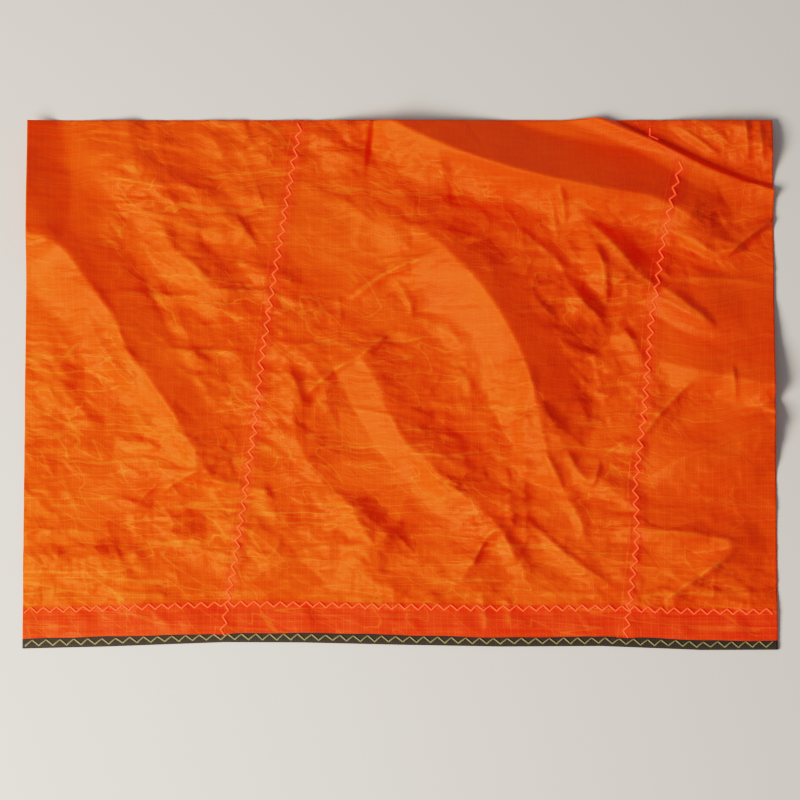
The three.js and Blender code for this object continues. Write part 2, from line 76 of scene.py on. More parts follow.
# Each station of a fold's crest: u, v, height, reach to the left and right of the walk
MAIN_FOLDS = {
    "corner roll": dict(tip=1.0, feet=(1.2, 2.0), crest=(
        (-12, 440, 24, 38, 30), (-11, 385, 24, 38, 30), (-9, 345, 21, 42, 30), (-6, 320, 12, 36, 30))),
    "left roll": dict(tip=1.0, feet=(1.35, 1.35), crest=(
        (-50, 330, 20, 60, 44), (-6, 311, 20, 60, 44), (14, 304, 20, 56, 42), (28, 295, 19, 52, 40),
        (42, 276, 18, 52, 37), (55, 259, 18, 54, 35), (65, 244, 17, 52, 33), (71, 226, 16, 50, 30),
        (82, 209, 15, 50, 29), (94, 193, 15, 50, 30), (105, 177, 14, 46, 31), (119, 152, 12, 38, 29),
        (134, 128, 8, 24, 22), (148, 110, 0, 12, 12))),
    "left shoulder": dict(tip=1.0, feet=(1.3, 1.3), crest=(
        (70, 412, 5, 36, 44), (76, 372, 7, 36, 44), (84, 345, 6, 32, 36),
        (98, 332, 3, 20, 24), (112, 322, 0, 10, 12))),
    "upper plate": dict(tip=1.0, feet=(1.15, 1.3), crest=(
        (92, 340, 0, 10, 10), (96, 322, 6, 46, 20), (106, 300, 9, 58, 24), (124, 278, 9, 56, 26),
        (140, 260, 5, 34, 20), (154, 246, 0, 12, 12))),
    "valley bank": dict(tip=1.3, feet=(1.4, 1.2), crest=(
        (120, 262, 0, 20, 18), (146, 228, 4, 28, 36), (172, 184, 4, 26, 34),
        (194, 150, 2, 20, 22), (204, 134, 0, 12, 12))),
    "second ridge": dict(tip=1.05, feet=(1.3, 1.3), crest=(
        (188, 202, 0, 10, 10), (193, 180, 5, 16, 16), (197, 152, 7, 20, 24), (212, 126, 8, 22, 28),
        (236, 104, 8, 20, 28), (262, 84, 5, 15, 20), (282, 72, 0, 9, 9))),
    "low ridge": dict(tip=1.0, feet=(1.1, 1.1), crest=(
        (236, 226, 0, 18, 12), (252, 196, 8, 36, 22), (266, 167, 12, 42, 26), (286, 141, 14, 42, 27),
        (310, 117, 14, 38, 27), (334, 97, 12, 32, 22), (350, 79, 8, 20, 16),
        (364, 60, 4, 12, 13), (382, 44, 0, 8, 8))),
    "middle plate": dict(tip=1.0, feet=(1.05, 1.2), crest=(
        (232, 330, 0, 20, 14), (262, 320, 9, 30, 24), (288, 309, 16, 46, 34), (310, 290, 21, 58, 50),
        (331, 266, 24, 64, 52), (348, 238, 24, 62, 44), (362, 206, 22, 54, 36), (369, 176, 19, 44, 30),
        (374, 152, 13, 28, 24), (379, 130, 6, 14, 16), (386, 110, 0, 8, 10))),
    "top ridge": dict(tip=1.0, feet=(1.0, 1.35), crest=(
        (230, 412, 12, 30, 26), (290, 380, 20, 34, 34), (350, 357, 24, 34, 28), (408, 343, 23, 34, 26),
        (456, 334, 19, 33, 30), (484, 318, 11, 28, 28), (510, 294, 0, 14, 14))),
    "tuck": dict(tip=1.0, feet=(1.0, 1.4), lean=3.0, crest=(
        (350, 416, 2, 6, 10), (392, 401, 7, 6, 10), (447, 378, 9, 5, 10),
        (503, 350, 10, 6, 15), (560, 332, 10, 6, 20))),
    "right spike": dict(tip=1.0, feet=(1.1, 1.3), crest=(
        (396, 314, 0, 12, 10), (418, 286, 6, 26, 14), (446, 267, 9, 34, 14),
        (474, 250, 9, 44, 14), (500, 235, 1, 22, 8))),
    "right plate": dict(tip=1.1, feet=(1.1, 1.2), crest=(
        (440, 214, 0, 20, 12), (474, 208, 8, 56, 18), (512, 200, 13, 62, 20), (556, 192, 14, 66, 22))),
    "right fold one": dict(tip=1.1, feet=(1.3, 1.1), crest=(
        (414, 118, 0, 12, 10), (438, 148, 5, 20, 20), (456, 172, 7, 26, 22),
        (478, 194, 5, 26, 14), (500, 206, 0, 16, 12))),
    "right fold two": dict(tip=1.0, feet=(1.0, 1.1), crest=(
        (446, 124, 0, 8, 10), (459, 133, 7, 14, 24), (474, 141, 12, 22, 34), (500, 152, 14, 19, 40),
        (540, 169, 14, 14, 40), (575, 184, 14, 14, 40))),
    "corner fold": dict(tip=1.0, feet=(1.3, 1.2), crest=(
        (420, 90, 0, 10, 8), (456, 88, 6, 17, 16), (490, 84, 9, 22, 20), (508, 74, 9, 26, 22),
        (494, 60, 8, 26, 22), (470, 43, 6, 22, 20), (446, 30, 2, 12, 12))),
}

# Broad swells: centre u, v, half size along and across, turn in degrees, height
SWELLS = {
    "upper left": (110, 352, 90, 46, -20, 4),
    "left edge": (34, 210, 70, 60, -40, 4),
    "left seam": (186, 250, 70, 46, -50, 4),
    "top middle": (220, 372, 60, 40, 0, 6),
    "hollow bank": (226, 196, 46, 40, 30, 3),
    "beside plate": (414, 262, 70, 40, -50, 5),
    "right edge": (500, 262, 60, 50, 0, 4),
    "right corner": (512, 388, 76, 34, -22, 12),
    "hem left": (90, 74, 110, 34, 0, 3),
    "hem middle": (262, 74, 90, 34, 0, 3),
    "hem right": (470, 84, 80, 40, 0, 3),
}

# Side folds, one row each: from u, v to u, v, bow to the left, height, left and right reach
SIDE_FOLDS = (
    (200, 186, 296, 244, 6, 3, 14, 12),
    (228, 252, 296, 294, 4, 5, 12, 12),
    (186, 216, 202, 170, 0, 3, 10, 14),
    (96, 356, 158, 311, 3, 5, 13, 26),
    (126, 388, 152, 368, -2, 3, 16, 14),
    (150, 367, 188, 392, -2, 3, 14, 18),
    (214, 372, 246, 344, 2, 3, 10, 14),
    (252, 404, 246, 336, 0, -5, 11, 4),
    (246, 344, 238, 296, 0, 2, 12, 8),
    (12, 286, 60, 250, 2, 3, 10, 22),
    (40, 254, 80, 190, -3, 4, 10, 18),
    (-10, 184, 34, 197, 0, 4, 14, 14),
    (-14, 70, 94, 71, -2, 7, 10, 28),
    (-14, 108, 60, 116, 3, 3, 12, 18),
    (96, 96, 160, 90, 3, 4, 9, 18),
    (148, 114, 196, 92, 4, 3, 11, 18),
    (312, 46, 338, 88, 2, 5, 16, 10),
    (338, 90, 362, 44, 3, 5, 10, 16),
    (356, 100, 430, 40, -3, 5, 11, 16),
    (386, 124, 404, 80, 3, 3, 8, 14),
    (396, 326, 458, 262, 4, 6, 12, 20),
    (402, 316, 416, 254, 5, 4, 8, 12),
    (356, 312, 390, 282, 0, 4, 9, 16),
    (386, 276, 419, 237, 2, 6, 9, 28),
    (424, 244, 446, 212, 2, 3, 8, 14),
    (384, 158, 444, 183, -3, 4, 10, 12),
    (384, 178, 436, 193, -2, 3, 8, 10),
    (466, 314, 506, 288, 0, 4, 12, 8),
    (503, 290, 556, 326, 3, 7, 16, 10),
    (398, 130, 446, 106, 4, 3, 10, 16),
    (300, 246, 322, 186, 5, 3, 12, 12),
    (364, 212, 360, 100, -3, 3, 12, 9),
)

# Sharp creases, one row each, as the side folds: the steep side is the short one
CREASES = (
    (0, 88, 70, 84, 1, 1.2, 3, 7),
    (70, 80, 150, 76, 1, 1.2, 3, 8),
    (50, 44, 112, 39, -1, 1.6, 5, 4),
    (112, 40, 190, 41, 1, 1.4, 4, 4),
    (196, 41, 270, 36, -1, 1.2, 4, 4),
    (280, 37, 346, 41, 1, 1.8, 5, 4),
    (355, 42, 430, 37, 1, 1.3, 4, 4),
    (470, 40, 540, 42, -1, 1.3, 4, 4),
    (184, 183, 290, 165, 3, 1.2, 3, 7),
    (258, 170, 325, 150, 0, 1.0, 3, 7),
    (92, 223, 166, 219, -1, 1.9, 4, 9),
    (64, 266, 128, 261, -1, 1.8, 3, 9),
    (128, 266, 188, 262, 1, 1.6, 3, 9),
    (62, 350, 106, 342, -1, 1.6, 8, 3),
    (96, 320, 150, 308, -2, 1.5, 8, 5),
    (150, 323, 168, 297, 0, 2.8, 4, 12),
    (112, 293, 137, 269, 0, 2.0, 4, 8),
    (20, 206, 41, 230, 0, 1.6, 4, 6),
    (77, 182, 98, 157, -3, 2.4, 10, 6),
    (64, 146, 98, 147, 1, 2.8, 11, 7),
    (98, 148, 127, 129, 1, 2.0, 7, 5),
    (60, 138, 112, 134, 4, 1.8, 4, 8),
    (136, 122, 163, 121, 0, 2.8, 13, 5),
    (160, 119, 180, 115, 0, 2.6, 9, 5),
    (184, 86, 170, 64, 4, 2.4, 6, 4),
    (206, 90, 230, 92, 1, 2.4, 9, 5),
    (96, 112, 130, 134, 2, 1.6, 8, 5),
    (228, 256, 291, 292, 4, 2.6, 5, 7),
    (202, 186, 240, 216, 3, 2.2, 9, 5),
    (240, 215, 268, 238, 1, 2.4, 8, 5),
    (262, 276, 279, 242, 4, 2.0, 5, 4),
    (225, 262, 228, 242, 0, 2.0, 4, 5),
    (278, 247, 314, 225, 2, 1.6, 8, 8),
    (300, 220, 321, 189, 3, 1.8, 9, 8),
    (190, 205, 200, 180, 1, 2.0, 6, 5),
    (218, 180, 232, 150, -1, 2.2, 6, 9),
    (322, 60, 332, 82, 1, 2.4, 8, 4),
    (330, 81, 343, 89, 1, 2.0, 6, 5),
    (342, 89, 354, 62, 0, 2.4, 5, 8),
    (328, 42, 332, 12, 0, 2.2, 8, 5),
    (346, 40, 349, 14, 0, 1.8, 5, 8),
    (444, 86, 492, 83, 1, 2.0, 5, 6),
    (508, 73, 458, 36, 1, 2.2, 8, 6),
    (399, 322, 442, 278, 2, 3.0, 6, 7),
    (440, 279, 457, 266, 0, 2.6, 6, 6),
    (385, 345, 390, 315, 0, 2.6, 5, 5),
    (380, 331, 384, 300, 0, 1.8, 4, 4),
    (394, 265, 417, 241, 0, 3.2, 6, 9),
    (411, 300, 419, 254, 3, 2.4, 5, 5),
    (455, 271, 498, 237, 1, 3.6, 6, 11),
    (356, 312, 388, 284, 0, 2.0, 5, 9),
    (365, 262, 385, 240, 0, 2.0, 5, 7),
    (430, 238, 443, 221, 0, 1.8, 4, 5),
    (463, 311, 505, 288, 0, 2.6, 6, 6),
    (505, 289, 542, 320, 2, 3.0, 8, 5),
    (458, 274, 542, 269, 2, 1.8, 7, 4),
    (468, 390, 503, 365, 1, 2.2, 5, 6),
    (480, 396, 510, 374, 1, 2.0, 5, 6),
    (520, 396, 522, 362, 0, 2.4, 5, 6),
    (530, 396, 533, 360, 0, 2.0, 4, 6),
    (509, 211, 512, 182, 0, 2.2, 4, 8),
    (442, 152, 482, 199, 3, 2.0, 8, 5),
    (370, 148, 387, 116, 2, 2.4, 5, 6),
    (390, 147, 408, 119, -2, 2.4, 5, 6),
    (408, 119, 414, 140, 0, 2.6, 5, 4),
    (414, 140, 436, 156, 1, 2.2, 5, 5),
    (388, 113, 403, 79, 2, 2.0, 5, 6),
    (360, 97, 426, 44, -3, 1.8, 4, 6),
)


def walk_crest(crest):
    """Stations about 5 mm apart on a smooth curve through a crest's own stations."""
    rows = np.array(crest, float)
    rows = np.vstack([2 * rows[0] - rows[1], rows, 2 * rows[-1] - rows[-2]])
    walk = []
    for a, b, c, d in zip(rows[:-3], rows[1:-2], rows[2:-1], rows[3:]):
        steps = max(2, int(np.hypot(*(c - b)[:2]) / 5))
        for t in np.arange(steps) / steps:
            bend, twist = 2 * a - 5 * b + 4 * c - d, 3 * b - 3 * c + d - a
            walk.append(0.5 * (2 * b + (c - a) * t + bend * t**2 + twist * t**3))
    walk.append(rows[-2])
    return np.array(walk)


def walk_side(row):
    """Stations of a side fold, which swells from nothing at both its ends."""
    u, v, to_u, to_v, bow, rise, left, right = row
    du, dv = to_u - u, to_v - v
    length = math.hypot(du, dv)
    t = np.linspace(0, 1, max(7, int(length / 6)))
    arch = np.sin(np.pi * t)
    swell = np.maximum(arch, 0) ** 0.6
    swell[0] = swell[-1] = 0
    reach = 0.35 + 0.65 * swell
    return np.stack([u + du * t - dv / length * bow * arch, v + dv * t + du / length * bow * arch,
                     rise * swell, left * reach, right * reach], axis=1)


def add_fold(height, slide_u, slide_v, u, v, walk, tip, feet, lean=0.0):
    """Adds one fold, taking at each point the highest that its stretches give there."""
    reach = walk[:, 3:].max()
    near = ((u > walk[:, 0].min() - reach) & (u < walk[:, 0].max() + reach)
            & (v > walk[:, 1].min() - reach) & (v < walk[:, 1].max() + reach))
    if not near.any():
        return
    pu, pv = u[near], v[near]
    best = np.zeros_like(pu)
    lean_u, lean_v = np.zeros_like(pu), np.zeros_like(pu)
    for a, b in zip(walk[:-1], walk[1:]):
        du, dv = (b - a)[:2]
        length = math.hypot(du, dv)
        du, dv = du / length, dv / length
        t = np.clip(((pu - a[0]) * du + (pv - a[1]) * dv) / length, 0, 1)
        off_u, off_v = pu - a[0] - t * du * length, pv - a[1] - t * dv * length
        away = np.hypot(off_u, off_v) + 1e-6
        sine = np.clip((du * off_v - dv * off_u) / away, -1, 1)
        leftness = 0.5 + 0.5 * np.sin(sine * np.pi / 2)
        side = a[4] + t * (b[4] - a[4])
        side = side + (a[3] + t * (b[3] - a[3]) - side) * leftness
        foot = feet[1] + (feet[0] - feet[1]) * leftness
        stands = (a[2] + t * (b[2] - a[2])) * (1 - np.clip(away / side, 0, 1) ** tip) ** foot
        higher = np.abs(stands) > np.abs(best)
        best = np.where(higher, stands, best)
        lean_u, lean_v = np.where(higher, -dv, lean_u), np.where(higher, du, lean_v)
    height[near] += best
    if lean:
        slide_u[near] += lean_u * lean * best / walk[:, 2].max()
        slide_v[near] += lean_v * lean * best / walk[:, 2].max()


def add_crease(height, worn, u, v, row):
    """Adds one crease, which fades at its ends, and wears the cloth along its top."""
    cu, cv, to_u, to_v, bow, rise, left, right = row
    du, dv = to_u - cu, to_v - cv
    length = math.hypot(du, dv)
    du, dv = du / length, dv / length
    reach = max(left, right) + abs(bow)
    near = np.nonzero((u > min(cu, to_u) - reach) & (u < max(cu, to_u) + reach)
                      & (v > min(cv, to_v) - reach) & (v < max(cv, to_v) + reach))
    along = ((u[near] - cu) * du + (v[near] - cv) * dv) / length
    across = (v[near] - cv) * du - (u[near] - cu) * dv - bow * 4 * along * (1 - along)
    ends = np.clip(np.minimum(along, 1 - along) / CREASE_FADE, 0, 1)
    ends = ends * (2 - ends)
    side = np.where(across > 0, left, right) * (0.45 + 0.55 * ends)
    share = ends * np.clip(1 - np.abs(across) / side, 0, 1) ** 1.25
    height[near] += rise * share
    worn[near] += min(max(rise, 0), 1) * 0.5 * share**4


# The crinkle between them, crushed in at random. Facets: a net of flats with straight
# creases between: spacing along and across, turn in degrees, rise, seed, rounds of softening
FACETS = {
    "large": (34, 25, -38, 3.4, 3, 1),
    "middling": (17, 12, -24, 1.5, 8, 0),
    "small": (9, 6, -8, 0.9, 21, 0),
}
# Crumples: sharp-topped waves. Size along and across, turn, rise, seed
CRUMPLES = (
    (13, 6, -6, 0.7, 12),
    (6, 3.6, 4, 0.35, 14),
)
LIFT = 1.0  # how far a hollow that would go below the floor is eased off it
# Lines: where, how many, direction and its spread in degrees, shortest and longest,
# lowest and highest, narrowest and widest
CRINKLE = {
    "creeping along the hem": (0, 540, 22, 112, 420, 1, 12, 12, 55, 0.2, 0.8, 1.6, 4.0),
    "crossing them": (0, 540, 24, 100, 200, 90, 14, 6, 24, 0.2, 0.5, 1.5, 3.0),
    "long and level": (0, 540, 100, 393, 200, -4, 9, 20, 75, 0.2, 0.7, 1.6, 4.0),
    "slanting": (0, 540, 100, 393, 160, -48, 28, 12, 45, 0.3, 1.0, 2.5, 6.0),
}
# Smooth stretches: centre u, v, half size along and across, turn, share of crinkle left out
CALM = {
    "behind the top ridge": (388, 372, 150, 40, -12, 0.9),
    "right of the seam": (508, 236, 70, 60, 0, 0.75),
    "lower right": (520, 120, 90, 70, 0, 0.5),
    "middle plate": (318, 256, 64, 34, -60, 0.7),
    "left of the roll": (20, 262, 60, 50, -30, 0.6),
    "inside the roll": (20, 350, 70, 40, -60, 0.8),
    "between the folds": (250, 178, 60, 14, -60, 0.7),
    "upper middle": (215, 300, 60, 40, 0, 0.4),
    "flank of the plate": (370, 224, 84, 18, -67, 0.75),
    "flank of the left roll": (92, 226, 110, 18, -59, 0.65),
    "the hem": (270, 8, 900, 24, 0, 0.35),
}
# Stretches crushed hardest, in the same columns, with how many times as much
CRUSHED = {
    "lower left": (110, 100, 150, 70, 4, 1.6),
    "below the seam": (210, 70, 120, 44, 0, 1.5),
    "foot of the plate": (350, 110, 70, 40, -40, 1.3),
    "beside the right seam": (410, 240, 50, 90, 10, 1.15),
    "along the left seam": (190, 190, 40, 90, 0, 1.3),
}


def ease(t):
    """0 to 1 with soft ends."""
    t = np.clip(t, 0, 1)
    return t * t * (3 - 2 * t)


def soften(values):
    """Each value averaged with its four neighbours on the grid."""
    wide = np.pad(values, 1, mode="edge")
    return 0.4 * values + 0.15 * (wide[:-2, 1:-1] + wide[2:, 1:-1] + wide[1:-1, :-2] + wide[1:-1, 2:])


def in_patch(u, v, patch):
    """1 in the middle of an oval patch, 0 outside it."""
    cu, cv, along, across, turn = patch[:5]
    turn = math.radians(turn)
    a = ((u - cu) * math.cos(turn) + (v - cv) * math.sin(turn)) / along
    b = ((v - cv) * math.cos(turn) - (u - cu) * math.sin(turn)) / across
    return np.clip(1 - a * a - b * b, 0, 1)


def facet_map(u, v, spacing, across, turn, rise, seed, soft):
    """Heights of a net of flat triangles with shaken corners, on a grid of u and v."""
    dice = np.random.default_rng(seed)
    turn = math.radians(turn)
    reach = math.hypot(LENGTH, DEPTH) / 2 + 2 * spacing
    a, b = np.meshgrid(np.arange(-reach, reach, spacing), np.arange(-reach, reach, across))
    a = a + dice.uniform(-0.42, 0.42, a.shape) * spacing + (np.arange(a.shape[0]) % 2)[:, None] * spacing / 2
    b = b + dice.uniform(-0.42, 0.42, b.shape) * across
    corner_u = LENGTH / 2 + a * math.cos(turn) - b * math.sin(turn)
    corner_v = DEPTH / 2 + a * math.sin(turn) + b * math.cos(turn)
    corner_h = dice.uniform(-1, 1, a.shape) * rise
    net = np.stack([corner_u, corner_v, corner_h], axis=2)
    split = dice.random(a.shape) < 0.5
    heights = np.zeros_like(u)
    first_u, first_v = u[0, 0], v[0, 0]
    for i in range(a.shape[0] - 1):
        for j in range(a.shape[1] - 1):
            p, q, r, s = net[i, j], net[i, j + 1], net[i + 1, j + 1], net[i + 1, j]
            for t in ((p, q, r), (p, r, s)) if split[i, j] else ((p, q, s), (q, r, s)):
                low_u = max(0, int((min(t[0][0], t[1][0], t[2][0]) - first_u) / MAP_STEP))
                low_v = max(0, int((min(t[0][1], t[1][1], t[2][1]) - first_v) / MAP_STEP))
                high_u = min(u.shape[1], int((max(t[0][0], t[1][0], t[2][0]) - first_u) / MAP_STEP) + 2)
                high_v = min(u.shape[0], int((max(t[0][1], t[1][1], t[2][1]) - first_v) / MAP_STEP) + 2)
                if low_u >= high_u or low_v >= high_v:
                    continue
                du = u[low_v:high_v, low_u:high_u] - t[2][0]
                dv = v[low_v:high_v, low_u:high_u] - t[2][1]
                m00, m01 = t[0][0] - t[2][0], t[1][0] - t[2][0]
                m10, m11 = t[0][1] - t[2][1], t[1][1] - t[2][1]
                size = m00 * m11 - m01 * m10
                if abs(size) < 1e-6:
                    continue
                wa = (m11 * du - m01 * dv) / size
                wb = (m00 * dv - m10 * du) / size
                inside = (wa >= -1e-6) & (wb >= -1e-6) & (wa + wb <= 1 + 1e-6)
                flat = t[2][2] + wa * (t[0][2] - t[2][2]) + wb * (t[1][2] - t[2][2])
                heights[low_v:high_v, low_u:high_u][inside] = flat[inside]
    for _ in range(soft):
        heights = soften(heights)
    return heights


def smooth_dice(a, b, dice):
    """A smooth random field, about -1 to 1, over lattice coordinates a and b."""
    a, b = a - a.min() + 1, b - b.min() + 1
    i, j = a.astype(int), b.astype(int)
    values = dice.uniform(-1, 1, (i.max() + 2, j.max() + 2))
    s, t = ease(a - i), ease(b - j)
    return 1.5 * (values[i, j] * (1 - s) * (1 - t) + values[i + 1, j] * s * (1 - t)
                  + values[i, j + 1] * (1 - s) * t + values[i + 1, j + 1] * s * t)


def crumples(u, v):
    """Small sharp-topped waves, stronger in some places than in others."""
    total = np.zeros_like(u)
    for along, across, turn, rise, seed in CRUMPLES:
        dice = np.random.default_rng(seed)
        turn = math.radians(turn)
        a = (u * math.cos(turn) + v * math.sin(turn)) / along
        b = (v * math.cos(turn) - u * math.sin(turn)) / across
        wave = smooth_dice(a, b, dice)
        strength = 0.35 + 0.65 * ease(0.5 + 0.8 * smooth_dice(a / 3.1, b / 3.1, dice))
        total += rise * strength * (0.45 - np.abs(wave))
    return total


def crinkle_rows():
    dice = random.Random(5)
    rows = []
    for u0, u1, v0, v1, count, turn, spread, short, long, low, high, narrow, wide in CRINKLE.values():
        for _ in range(count):
            u, v = dice.uniform(u0, u1), dice.uniform(v0, v1)
            calm = max(float(in_patch(u, v, patch)) for patch in CALM.values())
            way = math.radians(turn + spread * dice.uniform(-1, 1))
            length = short + (long - short) * dice.random() ** 2
            rise = low + (high - low) * dice.random() ** 2
            left, right = dice.uniform(narrow, wide), dice.uniform(narrow, wide)
            sign = 1 if dice.random() < 0.65 else -1
            bow = dice.uniform(-0.06, 0.06) * length
            if calm > 0.3 and dice.random() < 0.85:
                continue
            half_u, half_v = math.cos(way) * length / 2, math.sin(way) * length / 2
            rows.append((u - half_u, v - half_v, u + half_u, v + half_v, bow, sign * rise, left, right))
    return rows


def lay_the_cloth():
    """Maps, one cell a millimetre: height, slides to the side, worn creases, how crushed."""
    u, v = np.meshgrid(np.arange(-2, LENGTH + 3, MAP_STEP), np.arange(-4, DEPTH + 3, MAP_STEP))
    height, slide_u, slide_v, worn = (np.zeros_like(u) for _ in range(4))
    for fold in MAIN_FOLDS.values():
        walk = walk_crest(fold["crest"])
        add_fold(height, slide_u, slide_v, u, v, walk, fold["tip"], fold["feet"], fold.get("lean", 0))
    for row in SIDE_FOLDS:
        add_fold(height, slide_u, slide_v, u, v, walk_side(row), 1.1, (1.2, 1.2))
    for swell in SWELLS.values():
        height += swell[5] * in_patch(u, v, swell) ** 2
    from_edge = v - np.interp(u, OUTER_EDGE_U, OUTER_EDGE_V)
    full = ease((from_edge - FLAT_EDGE) / (FULL_FOLDS - FLAT_EDGE))
    height = soften(soften(np.maximum(height, 0) * full))
    crushed = np.ones_like(u)
    for patch in CRUSHED.values():
        crushed = np.maximum(crushed, 1 + (patch[5] - 1) * ease(1.3 * in_patch(u, v, patch)))
    for patch in CALM.values():
        crushed *= 1 - patch[5] * ease(1.5 * in_patch(u, v, patch))
    for net in FACETS.values():
        height += facet_map(u, v, *net) * crushed
    for row in list(CREASES) + crinkle_rows():
        add_crease(height, worn, u, v, row)
    height += crumples(u, v) * crushed
    height = (height + np.sqrt(height**2 + 4 * LIFT**2)) / 2 * ease((from_edge - 4) / 10)
    return height, slide_u, slide_v, np.minimum(worn, 0.7), np.minimum(crushed, 1)


LIE = lay_the_cloth()


def lie_of_cloth(u, v):
    """The maps' values at arrays of points, flattened."""
    across = (np.asarray(u, float).ravel() + 2) / MAP_STEP
    up = (np.asarray(v, float).ravel() + 4) / MAP_STEP
    j = np.clip(across.astype(int), 0, LIE[0].shape[1] - 2)
    i = np.clip(up.astype(int), 0, LIE[0].shape[0] - 2)
    a, b = across - j, up - i
    return [m[i, j] * (1 - a) * (1 - b) + m[i, j + 1] * a * (1 - b)
            + m[i + 1, j] * (1 - a) * b + m[i + 1, j + 1] * a * b for m in LIE]


# Ripstop nylon canopy cloth: plain weave of fine filament yarn with a heavier thread
# every 5 mm both ways, polyurethane coated, which makes it crisp and softly glossy, with
# the gloss coming back orange through the thin cloth. Double cloth looks redder.
RIPSTOP_PITCH = 0.005
HEAVY_THREAD = 0.00045  # half width of a heavier thread
THREAD_PITCH = 0.0011  # really 0.2 mm, drawn coarser so that it shows
CRINKLE_WARP = 0.012  # how far the small crinkle wanders off straight, in metres
FACET_TILT = 0.27  # how far the smallest flats tip, as a slope
RUBBED_LINES = 0.45  # how much paler the fine crease lines are rubbed
ORANGE = "#F54D13"
ORANGE_DEEP = "#EC420E"
ORANGE_DOUBLE = "#EC341A"
ORANGE_WORN = "#FF6A28"


def linear(hex_colour):
    """An sRGB hex colour as linear red, green, blue and alpha."""
    parts = [int(hex_colour[i : i + 2], 16) / 255 for i in (1, 3, 5)]
    return [x / 12.92 if x <= 0.04045 else ((x + 0.055) / 1.055) ** 2.4 for x in parts] + [1.0]


def put(tree, kind, settings=None, **links):
    """Adds a node, sets its properties and sockets, and links sockets by name or number."""
    node = tree.nodes.new("ShaderNode" + kind)
    for key, value in (settings or {}).items():
        if isinstance(key, int) or key in node.inputs:
            node.inputs[key].default_value = value
        else:
            setattr(node, key, value)
    for key, source in links.items():
        by_number = key[0] == "i" and key[1:].isdigit()
        tree.links.new(source, node.inputs[int(key[1:]) if by_number else key.replace("_", " ")])
    return node


def ridge_every(tree, coordinate, pitch, width):
    """1 on a thread, 0 between: a thread of the given width at every pitch along a coordinate."""
    back = put(tree, "Math", {"operation": "PINGPONG", 1: pitch / 2}, i0=coordinate)
    smooth = {"interpolation_type": "SMOOTHSTEP", "From Min": width, "From Max": 0.0}
    return put(tree, "MapRange", smooth, Value=back.outputs[0]).outputs[0]


def scaled(tree, vector, across, up, turn=0.0):
    """A vector stretched for a texture that is finer across or up, and turned in degrees."""
    turned = put(tree, "Mapping", {"Rotation": (0.0, 0.0, math.radians(turn))}, Vector=vector).outputs[0]
    return put(tree, "Mapping", {"Scale": (across, up, 1.0)}, Vector=turned).outputs[0]


def hairlines(tree, vector, across, up, turn, width):
    """Thin lines, 1 along where a stretched noise passes its middle value."""
    noise = put(tree, "TexNoise", {"Scale": 1.0, "Detail": 1.5, "Roughness": 0.5},
                Vector=scaled(tree, vector, across, up, turn)).outputs[0]
    off = put(tree, "Math", {"operation": "COMPARE", 1: 0.5, 2: width}, i0=noise)
    return off.outputs[0]


